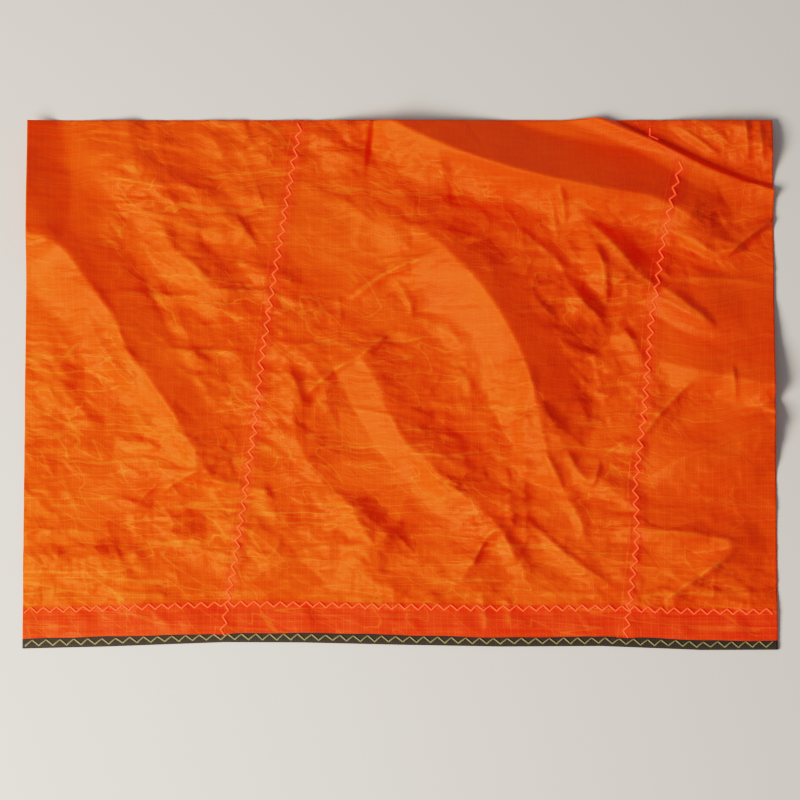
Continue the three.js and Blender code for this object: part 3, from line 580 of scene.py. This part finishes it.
def ripstop_nylon(name):
    material = bpy.data.materials.new(name)
    material.use_nodes = True
    tree = material.node_tree
    shader = tree.nodes["Principled BSDF"]
    cloth = put(tree, "UVMap", {"uv_map": "cloth"}).outputs[0]
    axes = put(tree, "SeparateXYZ", None, Vector=cloth)
    layers = put(tree, "Attribute", {"attribute_name": "layers"}).outputs["Fac"]
    worn = put(tree, "Attribute", {"attribute_name": "worn"}).outputs["Fac"]
    crushed = put(tree, "Attribute", {"attribute_name": "crushed"}).outputs["Fac"]

    heavy_u = ridge_every(tree, axes.outputs[0], RIPSTOP_PITCH, HEAVY_THREAD)
    heavy_v = ridge_every(tree, axes.outputs[1], RIPSTOP_PITCH, HEAVY_THREAD)
    heavy = put(tree, "Math", {"operation": "MAXIMUM"}, i0=heavy_u, i1=heavy_v).outputs[0]
    fine_u = ridge_every(tree, axes.outputs[0], THREAD_PITCH, THREAD_PITCH / 2)
    fine_v = ridge_every(tree, axes.outputs[1], THREAD_PITCH, THREAD_PITCH / 2)
    fine = put(tree, "Math", {"operation": "ADD"}, i0=fine_u, i1=fine_v).outputs[0]

    slubs = put(tree, "TexNoise", {"Scale": 1.0, "Detail": 3.0, "Roughness": 0.6},
                Vector=scaled(tree, cloth, 24, 520)).outputs[0]
    cloudy = put(tree, "TexNoise", {"Scale": 14.0, "Detail": 3.0, "Roughness": 0.55}, Vector=cloth).outputs[0]
    bent = put(tree, "TexNoise", {"Scale": 30.0, "Detail": 2.0}, Vector=cloth).outputs["Color"]
    warped = put(tree, "VectorMath", {"operation": "MULTIPLY_ADD", 1: (CRINKLE_WARP, CRINKLE_WARP, 0.0)},
                 i0=bent, i2=cloth).outputs[0]
    plates = put(tree, "TexVoronoi", {"feature": "SMOOTH_F1", "Smoothness": 0.04, "Scale": 1.0},
                 Vector=scaled(tree, warped, 34, 52, 30)).outputs["Color"]
    flakes = put(tree, "TexVoronoi", {"feature": "SMOOTH_F1", "Smoothness": 0.05, "Scale": 1.0},
                 Vector=scaled(tree, warped, 80, 150, 12)).outputs["Color"]
    creased = put(tree, "TexNoise", {"Scale": 1.0, "Detail": 4.0, "Roughness": 0.6},
                  Vector=scaled(tree, warped, 45, 110, 14)).outputs[0]
    lines = put(tree, "Math", {"operation": "MAXIMUM"}, i0=hairlines(tree, cloth, 4, 62, 2, 0.008),
                i1=hairlines(tree, warped, 12, 40, 40, 0.005)).outputs[0]
    cracks = put(tree, "Math", {"operation": "MULTIPLY"}, i0=lines, i1=crushed).outputs[0]

    uneven = put(tree, "MapRange", {"From Min": 0.35, "From Max": 0.65}, Value=cloudy).outputs[0]
    dye = put(tree, "Mix", {"data_type": "RGBA", 6: linear(ORANGE_DEEP), 7: linear(ORANGE)},
              i0=uneven).outputs[2]
    redder = put(tree, "MapRange", {"From Min": 1.0, "From Max": 2.0, "To Max": 0.9}, Value=layers).outputs[0]
    double = put(tree, "Mix", {"data_type": "RGBA", 7: linear(ORANGE_DOUBLE)}, i0=redder, i6=dye).outputs[2]
    to_worn = {"data_type": "RGBA", 7: linear(ORANGE_WORN)}
    streak = put(tree, "MapRange", {"From Min": 0.35, "From Max": 0.7, "To Max": 0.2}, Value=slubs).outputs[0]
    streaked = put(tree, "Mix", to_worn, i0=streak, i6=double).outputs[2]
    threads = put(tree, "Math", {"operation": "MULTIPLY", 1: 0.2}, i0=heavy).outputs[0]
    threaded = put(tree, "Mix", to_worn, i0=threads, i6=streaked).outputs[2]
    rubbed = put(tree, "Math", {"operation": "MULTIPLY_ADD", 1: RUBBED_LINES}, i0=cracks, i2=worn).outputs[0]
    colour = put(tree, "Mix", to_worn, i0=rubbed, i6=threaded).outputs[2]
    tree.links.new(colour, shader.inputs["Base Color"])

    gloss = put(tree, "MapRange", {"From Min": 0.3, "From Max": 0.7, "To Min": 0.4, "To Max": 0.52},
                Value=cloudy).outputs[0]
    tree.links.new(gloss, shader.inputs["Roughness"])
    shader.inputs["IOR"].default_value = 1.6
    shader.inputs["Specular IOR Level"].default_value = 0.72
    shader.inputs["Specular Tint"].default_value = linear("#FF6448")
    shader.inputs["Sheen Weight"].default_value = 0.1
    shader.inputs["Sheen Roughness"].default_value = 0.4
    shader.inputs["Sheen Tint"].default_value = linear("#FF5A20")

    tilt = put(tree, "VectorMath", {"operation": "MULTIPLY_ADD", 1: (0.7, 0.7, 0.7)},
               i0=flakes, i2=plates).outputs[0]
    level = put(tree, "VectorMath", {"operation": "SUBTRACT", 1: (0.85, 0.85, 0.85)}, i0=tilt).outputs[0]
    crush = put(tree, "Math", {"operation": "MULTIPLY", 1: FACET_TILT}, i0=crushed).outputs[0]
    tipped = put(tree, "VectorMath", {"operation": "SCALE"}, i0=level, Scale=crush).outputs[0]
    facing = put(tree, "NewGeometry").outputs["Normal"]
    flat_by_flat = put(tree, "VectorMath", {"operation": "ADD"}, i0=facing, i1=tipped).outputs[0]
    unit = put(tree, "VectorMath", {"operation": "NORMALIZE"}, i0=flat_by_flat).outputs[0]
    weave = put(tree, "Bump", {"Strength": 0.5, "Distance": 0.00006}, Height=fine, Normal=unit)
    wrinkled = put(tree, "Math", {"operation": "MULTIPLY"}, i0=creased, i1=crushed).outputs[0]
    relief = weave.outputs[0]
    for height, strength, distance in ((wrinkled, 0.6, 0.0018), (cracks, 0.4, 0.0003),
                                       (slubs, 0.4, 0.0003), (heavy, 0.5, 0.0001)):
        relief = put(tree, "Bump", {"Strength": strength, "Distance": distance},
                     Height=height, Normal=relief).outputs[0]
    tree.links.new(relief, shader.inputs["Normal"])
    return material


canopy_cloth = ripstop_nylon("orange_ripstop_nylon")

# The sheets themselves. A seam laps 6 mm each way of its stitching, the under panel
# below and the upper one over it, and the hem is turned up 28 mm and lies double.
CLOTH_STEP = 1.25
CLOTH_THICK = 0.25  # really 0.1 mm
HEM_DEPTH = 28.0
TAPE_SHOWN = 7.0
LAP = 6.0

LEFT_SEAM_V = (0, 32, 60, 100, 160, 220, 280, 320, 393)
LEFT_SEAM_U = (142, 146, 151, 157, 165, 171, 180, 186, 198)
RIGHT_SEAM_V = (0, 40, 80, 120, 180, 240, 300, 335, 362, 376, 393)
RIGHT_SEAM_U = (430, 435, 440, 439, 446, 451, 460, 467, 474, 456, 446)


def left_seam(v):
    return np.interp(v, LEFT_SEAM_V, LEFT_SEAM_U)


def right_seam(v):
    return np.interp(v, RIGHT_SEAM_V, RIGHT_SEAM_U)


def hem_and_laps(u, v):
    """How many layers lie at a point, and how far they and the binding lift the top one."""
    from_edge = v - np.interp(u, OUTER_EDGE_U, OUTER_EDGE_V)
    hem = 1 - ease((from_edge - HEM_DEPTH - 1.5) / 2.0)
    to_seam = np.minimum(np.abs(u - left_seam(v)), np.abs(u - right_seam(v)))
    lap = ease(LAP + 0.8 - to_seam)
    lift = 0.9 * (1 - ease((from_edge - TAPE_SHOWN) / 7.0)) + 0.35 * hem
    puff = np.sin(np.pi * np.clip((from_edge - TAPE_SHOWN) / (HEM_DEPTH - TAPE_SHOWN), 0, 1))
    lift = lift + puff * (1.0 + 0.45 * np.sin(u / 17.0) + 0.4 * np.sin(u / 6.3 + 2.0) + 0.3 * np.sin(u / 3.1))
    return 1 + np.maximum(hem, 0.45 * lap), lift


def cloth_surface(u, v, over=0.0):
    """Points on top of the cloth in metres, from arrays of u and v in millimetres."""
    height, slide_u, slide_v, worn, crushed = lie_of_cloth(u, v)
    u, v = np.asarray(u, float).ravel(), np.asarray(v, float).ravel()
    layers, lift = hem_and_laps(u, v)
    z = height + lift + CLOTH_THICK + 0.1 + over
    y = v + slide_v - height / math.tan(VIEW_ELEVATION)
    return np.stack([u + slide_u - ORIGIN_U, y - ORIGIN_V, z], axis=1) / 1000, layers, worn, crushed


def cloth_sheet(name, left_border, right_border, over_left, bottom=1.2):
    """One panel as a closed thin sheet between two borders, with an underside half as
    finely divided. The map called cloth follows the threads along the folds."""
    rows = 2 * int(DEPTH / CLOTH_STEP / 2)
    widest = np.max(right_border(np.arange(0, DEPTH)) - left_border(np.arange(0, DEPTH)))
    columns = 2 * int(widest / CLOTH_STEP / 2)
    s, t = np.meshgrid(np.linspace(0, 1, columns + 1), np.linspace(0, 1, rows + 1))
    from_edge = bottom + t * (DEPTH - bottom)
    u = left_border(from_edge) + s * (right_border(from_edge) - left_border(from_edge))
    edge = np.interp(u, OUTER_EDGE_U, OUTER_EDGE_V)
    v = edge + (DEPTH - edge) * from_edge / DEPTH
    over = 0.3 * ease((2 * LAP + 3 - (u - left_border(from_edge))) / 3) if over_left else np.zeros_like(u)
    top, layers, worn, crushed = cloth_surface(u, v, over.ravel())
    grid = top.reshape(*u.shape, 3)

    wide = np.pad(grid[..., 2], 1, mode="edge")
    lowest = np.min([wide[i : i + rows + 1, j : j + columns + 1] for i in range(3) for j in range(3)], axis=0)
    under = grid.copy()
    under[..., 2] = np.maximum(lowest - CLOTH_THICK / 1000, 0)
    under = under[::2, ::2]

    across = np.zeros_like(u)
    across[:, 1:] = np.cumsum(np.linalg.norm(np.diff(grid, axis=1), axis=2), axis=1)
    upward = np.zeros_like(u)
    upward[1:] = np.cumsum(np.linalg.norm(np.diff(grid, axis=0), axis=2), axis=0)
    flat = np.stack([0.5 * (u / 1000 + u[:, :1] / 1000 + across),
                     0.5 * (v / 1000 + v[:1] / 1000 + upward)], axis=2)

    fine = np.arange(u.size).reshape(u.shape)
    coarse = u.size + np.arange(under[..., 0].size).reshape(under.shape[:2])
    faces = []
    for net in (fine, coarse[::-1]):
        faces += np.stack([net[:-1, :-1], net[:-1, 1:], net[1:, 1:], net[1:, :-1]], 2).reshape(-1, 4).tolist()
    skins = len(faces)
    for high, low in ((fine[0], coarse[0]), (fine[:, -1], coarse[:, -1]), (fine[-1, ::-1], coarse[-1, ::-1]),
                      (fine[::-1, 0], coarse[::-1, 0])):
        for k in range(len(low) - 1):
            faces += [(low[k], high[2 * k + 1], high[2 * k]), (low[k], low[k + 1], high[2 * k + 1]),
                      (low[k + 1], high[2 * k + 2], high[2 * k + 1])]

    mesh = bpy.data.meshes.new(name)
    mesh.from_pydata(np.vstack([top, under.reshape(-1, 3)]).tolist(), [], faces)
    mesh.update()
    place = np.vstack([flat.reshape(-1, 2), flat[::2, ::2].reshape(-1, 2)])
    loops = np.empty(len(mesh.loops), np.int32)
    mesh.loops.foreach_get("vertex_index", loops)
    mesh.uv_layers.new(name="cloth").data.foreach_set("uv", place[loops].astype(np.float32).ravel())
    for key, values in (("layers", layers), ("worn", worn), ("crushed", crushed)):
        both = np.append(values, values.reshape(u.shape)[::2, ::2])
        mesh.attributes.new(key, "FLOAT", "POINT").data.foreach_set("value", both.astype(np.float32))
    mesh.polygons.foreach_set("use_smooth", np.arange(len(faces)) < skins)
    mesh.materials.append(canopy_cloth)
    piece = bpy.data.objects.new(name, mesh)
    scene.collection.objects.link(piece)
    return piece


def dress_panel(piece, node):
    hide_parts(node)
    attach(piece, "root")


# The floor that the cloth lies on: plain, pale and matt, not part of the kite.
floor_mesh = bpy.data.meshes.new("floor")
floor_mesh.from_pydata([(-4, -4, 0), (4, -4, 0), (4, 4, 0), (-4, 4, 0)], [], [(0, 1, 2, 3)])
floor = bpy.data.objects.new("floor", floor_mesh)
scene.collection.objects.link(floor)
floor_paint = bpy.data.materials.new("pale_floor")
floor_paint.use_nodes = True
floor_paint.node_tree.nodes["Principled BSDF"].inputs["Base Color"].default_value = linear("#D2D0CC")
floor_paint.node_tree.nodes["Principled BSDF"].inputs["Roughness"].default_value = 0.8
floor_mesh.materials.append(floor_paint)

# Left panel, cut from the roll of ripstop, its hem turned up before it was joined.
# It goes under the middle one at the left seam.
panel_left = cloth_sheet("left_panel", lambda v: 0 * v, lambda v: left_seam(v) + LAP, False)
dress_panel(panel_left, "panel_left")

# Middle panel, of the same cloth with a hem of its own. It laps over the left one and
# under the right one, and carries the largest folds.
panel_middle = cloth_sheet("middle_panel", lambda v: left_seam(v) - LAP, lambda v: right_seam(v) + LAP, True)
dress_panel(panel_middle, "panel_middle")

# Right panel, of the same cloth with a hem of its own. It laps over the middle one at
# the right seam and is tucked over itself near the upper cut.
panel_right = cloth_sheet("right_panel", lambda v: right_seam(v) - LAP, lambda v: 0 * v + LENGTH, True)
dress_panel(panel_right, "panel_right")


# Zigzag machine stitching in bonded polyester thread: each stitch is a straight leg that
# bows up a little from the cloth and goes down through it at both its ends.
THREAD_COARSE = 1.15  # really 0.35 mm, drawn coarser so that it shows
SEAM_STITCH, SEAM_SWING = 4.7, 4.0
BINDING_STITCH, BINDING_SWING = 5.0, 3.9
SEAM_PINK = "#FF4C30"
BINDING_OLIVE = "#837F5E"


def sewing_thread(name, colour, painted_glow=0.0):
    material = bpy.data.materials.new(name)
    material.use_nodes = True
    tree = material.node_tree
    shader = tree.nodes["Principled BSDF"]
    place = put(tree, "TexCoord").outputs["Object"]
    twist = put(tree, "TexNoise", {"Scale": 900.0, "Detail": 2.0}, Vector=place).outputs[0]
    # Painted shade: the thread's colour is darker where its twist bump is low and lighter where it is high.
    painted_twist_shade = put(tree, "MapRange", {"From Min": 0.3, "From Max": 0.7, "To Min": 0.7, "To Max": 1.1},
                Value=twist).outputs[0]
    tint = put(tree, "HueSaturation", {"Color": linear(colour)}, Value=painted_twist_shade).outputs[0]
    tree.links.new(tint, shader.inputs["Base Color"])
    shader.inputs["Roughness"].default_value = 0.45
    shader.inputs["IOR"].default_value = 1.55
    shader.inputs["Specular Tint"].default_value = linear(colour)
    # Painted glow: the thread gives off light of its own colour, though it is no lamp, so that it looks
    # brighter.
    shader.inputs["Emission Color"].default_value = linear(colour)
    shader.inputs["Emission Strength"].default_value = painted_glow
    bump = put(tree, "Bump", {"Strength": 0.3, "Distance": 0.0001}, Height=twist)
    tree.links.new(bump.outputs[0], shader.inputs["Normal"])
    return material


def zigzag_row(line, start, end, stitch, swing, wander, seed):
    """Needle holes of a zigzag: line gives u and v at a distance, and its direction."""
    dice = random.Random(seed)
    holes = []
    for k in range(int((end - start) / stitch) + 1):
        u, v, du, dv = line(start + k * stitch)
        off = (0.5 if k % 2 else -0.5) * swing + dice.uniform(-wander, wander)
        slip = dice.uniform(-wander, wander)
        holes.append((u - dv * off + du * slip, v + du * off + dv * slip))
    return np.array(holes)


def stitched_thread(name, holes, lift_above, material, surface):
    """A row of stitches as one tube that follows the cloth between the needle holes."""
    share = np.array([0.0, 0.12, 0.35, 0.65, 0.88])
    route = (holes[:-1, None] + (holes[1:] - holes[:-1])[:, None] * share[None, :, None]).reshape(-1, 2)
    rise = np.tile([-0.12, 0.12, 0.2, 0.2, 0.12], len(holes) - 1)
    route = np.vstack([route, holes[-1:]])
    rise = np.append(rise, -0.12)
    centre = surface(route[:, 0], route[:, 1])
    centre[:, 2] += (lift_above + rise) / 1000
    way = np.gradient(centre, axis=0)
    way /= np.linalg.norm(way, axis=1, keepdims=True)
    side = np.cross(way, (0, 0, 1))
    side /= np.linalg.norm(side, axis=1, keepdims=True)
    top = np.cross(side, way)
    sides = 7
    turn = np.arange(sides) * 2 * np.pi / sides
    radius = THREAD_COARSE / 2000
    ring = (np.cos(turn)[None, :, None] * side[:, None] + np.sin(turn)[None, :, None] * top[:, None]) * radius
    points = (centre[:, None] + ring).reshape(-1, 3)
    faces = []
    for i in range(len(centre) - 1):
        for k in range(sides):
            n = (k + 1) % sides
            faces.append((i * sides + k, (i + 1) * sides + k, (i + 1) * sides + n, i * sides + n))
    faces.append(tuple(range(sides)))
    faces.append(tuple((len(centre) - 1) * sides + k for k in range(sides - 1, -1, -1)))
    mesh = bpy.data.meshes.new(name)
    mesh.from_pydata(points.tolist(), [], faces)
    mesh.update()
    mesh.polygons.foreach_set("use_smooth", [True] * len(faces))
    mesh.materials.append(material)
    piece = bpy.data.objects.new(name, mesh)
    scene.collection.objects.link(piece)
    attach(piece, "root")
    return piece


def over_the_cloth(u, v):
    return cloth_surface(u, v, 0.4)[0]


def up_the_seam(seam):
    def line(v):
        du = (seam(v + 3) - seam(v - 3)) / 6
        length = math.hypot(du, 1)
        return float(seam(v)), v, du / length, 1 / length
    return line


def along_the_edge(distance):
    def line(u):
        v = float(np.interp(u, OUTER_EDGE_U, OUTER_EDGE_V)) + distance
        return u, v, 1.0, 0.0
    return line


# The pink thread of the seams and the hem is drawn with a painted glow of strength 1.1.
seam_thread = sewing_thread("pink_polyester_thread_painted_glow", SEAM_PINK, 1.1)
left_holes = zigzag_row(up_the_seam(left_seam), 9, 391, SEAM_STITCH, SEAM_SWING, 0.3, 11)
stitched_thread("left_seam_stitching", left_holes, 0.08, seam_thread, over_the_cloth)
right_holes = zigzag_row(up_the_seam(right_seam), 8, 362, SEAM_STITCH, SEAM_SWING, 0.3, 12)
stitched_thread("right_seam_stitching", right_holes, 0.08, seam_thread, over_the_cloth)
above_the_tuck = zigzag_row(up_the_seam(right_seam), 377, 391, SEAM_STITCH, SEAM_SWING, 0.3, 15)
stitched_thread("right_seam_stitching_above", above_the_tuck, 0.08, seam_thread,
                over_the_cloth)
hem_holes = zigzag_row(along_the_edge(HEM_DEPTH), 1, 539, SEAM_STITCH, SEAM_SWING, 0.25, 13)
stitched_thread("hem_stitching", hem_holes, 0.1, seam_thread, over_the_cloth)


# The binding: a woven polyester tape 15 mm wide, folded lengthwise over the hem's edge,
# 7 mm of it showing, and sewn down with its own zigzag in pale thread.
# TAPE_DARK is painted shade in the hollows of the weave, TAPE_LIGHT the raised crossings painted lighter; a
# random fuzz tone moves between them too.
TAPE_DARK = "#221D17"
TAPE_LIGHT = "#3B342B"


def woven_tape(name):
    material = bpy.data.materials.new(name)
    material.use_nodes = True
    tree = material.node_tree
    shader = tree.nodes["Principled BSDF"]
    tape = put(tree, "UVMap", {"uv_map": "tape"}).outputs[0]
    axes = put(tree, "SeparateXYZ", None, Vector=tape)
    picks = ridge_every(tree, axes.outputs[0], 0.0012, 0.0006)
    cords = ridge_every(tree, axes.outputs[1], 0.0009, 0.00045)
    woven = put(tree, "Math", {"operation": "MULTIPLY"}, i0=picks, i1=cords).outputs[0]
    fuzz = put(tree, "TexNoise", {"Scale": 500.0, "Detail": 3.0}, Vector=tape).outputs[0]
    mixed = put(tree, "Math", {"operation": "MULTIPLY_ADD", 1: 0.6}, i0=fuzz, i2=woven).outputs[0]
    # Painted shade: the tape is darker in the hollows of its weave and lighter on its raised crossings, with
    # a random fuzz tone mixed in.
    fuzz_and_painted_weave_shade = put(tree, "MapRange", {"From Min": 0.2, "From Max": 1.3}, Value=mixed).outputs[0]
    colour = put(tree, "Mix", {"data_type": "RGBA", 6: linear(TAPE_DARK), 7: linear(TAPE_LIGHT)},
                 i0=fuzz_and_painted_weave_shade).outputs[2]
    tree.links.new(colour, shader.inputs["Base Color"])
    shader.inputs["Roughness"].default_value = 0.8
    shader.inputs["Sheen Weight"].default_value = 0.15
    bump = put(tree, "Bump", {"Strength": 0.7, "Distance": 0.0002}, Height=mixed)
    tree.links.new(bump.outputs[0], shader.inputs["Normal"])
    return material


# Across the folded tape, from its upper hidden side round the fold: out from the edge, and height
TAPE_SECTION = (
    (7.0, 1.55), (7.05, 1.95), (6.6, 2.15), (4.5, 2.3), (2.2, 2.3), (0.9, 2.05), (0.2, 1.5), (0.0, 0.95),
    (0.3, 0.35), (1.0, 0.05), (3.0, 0.0), (7.0, 0.0), (7.0, 0.35), (3.0, 0.4), (1.2, 0.6), (0.7, 1.0),
    (1.0, 1.45), (2.4, 1.75), (4.5, 1.75),
)


def tape_wander(u):
    return 0.25 * np.sin(u / 23.0) + 0.18 * np.sin(u / 9.3 + 1.0) + 0.1 * np.sin(u / 4.1)


section = np.array(TAPE_SECTION)
stations = np.linspace(0, LENGTH, 361)
tape_edge = np.interp(stations, OUTER_EDGE_U, OUTER_EDGE_V)
width = 1 + 0.06 * np.sin(stations / 31.0) + 0.03 * np.sin(stations / 7.7)
tape_points = np.empty((len(stations), len(section), 3))
tape_points[..., 0] = stations[:, None] - ORIGIN_U
tape_points[..., 1] = tape_edge[:, None] + section[None, :, 0] * width[:, None] - ORIGIN_V
tape_points[..., 2] = section[None, :, 1] * (1 + 0.05 * tape_wander(stations)[:, None])
ring_at = np.arange(len(stations) * len(section)).reshape(len(stations), len(section))
ring_next = np.roll(ring_at, -1, axis=1)
tape_faces = np.stack([ring_at[:-1], ring_next[:-1], ring_next[1:], ring_at[1:]], axis=2)
tape_faces = tape_faces.reshape(-1, 4).tolist()
tape_faces += [tuple(ring_at[0, ::-1]), tuple(ring_at[-1])]
tape_mesh = bpy.data.meshes.new("edge_binding")
tape_mesh.from_pydata((tape_points.reshape(-1, 3) / 1000).tolist(), [], tape_faces)
tape_mesh.update()
round_it = np.concatenate([[0], np.cumsum(np.hypot(*np.diff(section, axis=0).T))]) / 1000
tape_map = np.stack([np.repeat(stations / 1000, len(section)), np.tile(round_it, len(stations))], 1)
tape_loops = np.empty(len(tape_mesh.loops), np.int32)
tape_mesh.loops.foreach_get("vertex_index", tape_loops)
tape_mesh.uv_layers.new(name="tape").data.foreach_set("uv", tape_map[tape_loops].astype(np.float32).ravel())
tape_mesh.polygons.foreach_set("use_smooth", [True] * len(tape_faces))
tape_mesh.materials.append(woven_tape("dark_woven_tape"))
edge_binding = bpy.data.objects.new("edge_binding", tape_mesh)
scene.collection.objects.link(edge_binding)
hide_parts("edge_tape")
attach(edge_binding, "root")


def over_the_tape(u, v):
    out = v - np.interp(u, OUTER_EDGE_U, OUTER_EDGE_V)
    z = np.interp(out, (0.0, 0.9, 2.2, 4.5, 6.6, 7.0), (1.2, 2.05, 2.3, 2.3, 2.15, 1.9))
    return np.stack([u - ORIGIN_U, v - ORIGIN_V, z], axis=1) / 1000


binding_holes = zigzag_row(along_the_edge(3.7), 2, 538, BINDING_STITCH, BINDING_SWING, 0.25, 14)
binding_thread = sewing_thread("pale_olive_polyester_thread", BINDING_OLIVE)
stitched_thread("binding_stitching", binding_holes, 0.15, binding_thread, over_the_tape)


# Light: one large soft lamp, halfway up on the near left, shades the folds' far sides,
# and the pale room fills in.
key_data = bpy.data.lights.new("key", "AREA")
key_data.shape = "RECTANGLE"
key_data.size, key_data.size_y = 0.8, 0.8
key_data.energy = 35.5
key_data.color = linear("#FFF3E4")[:3]
key = bpy.data.objects.new("key", key_data)
scene.collection.objects.link(key)
key_azimuth, key_height = math.radians(212), math.radians(45)
key_from = Vector((math.cos(key_azimuth) * math.cos(key_height),
                   math.sin(key_azimuth) * math.cos(key_height), math.sin(key_height)))
key.location = key_from * 1.5
key.rotation_euler = key_from.to_track_quat("Z", "Y").to_euler()

room = bpy.data.worlds.new("room")
room.use_nodes = True
room.node_tree.nodes["Background"].inputs["Color"].default_value = linear("#F2F4F8")
room.node_tree.nodes["Background"].inputs["Strength"].default_value = 0.27
scene.world = room
scene.view_settings.view_transform = "Filmic"
scene.view_settings.look = "High Contrast"
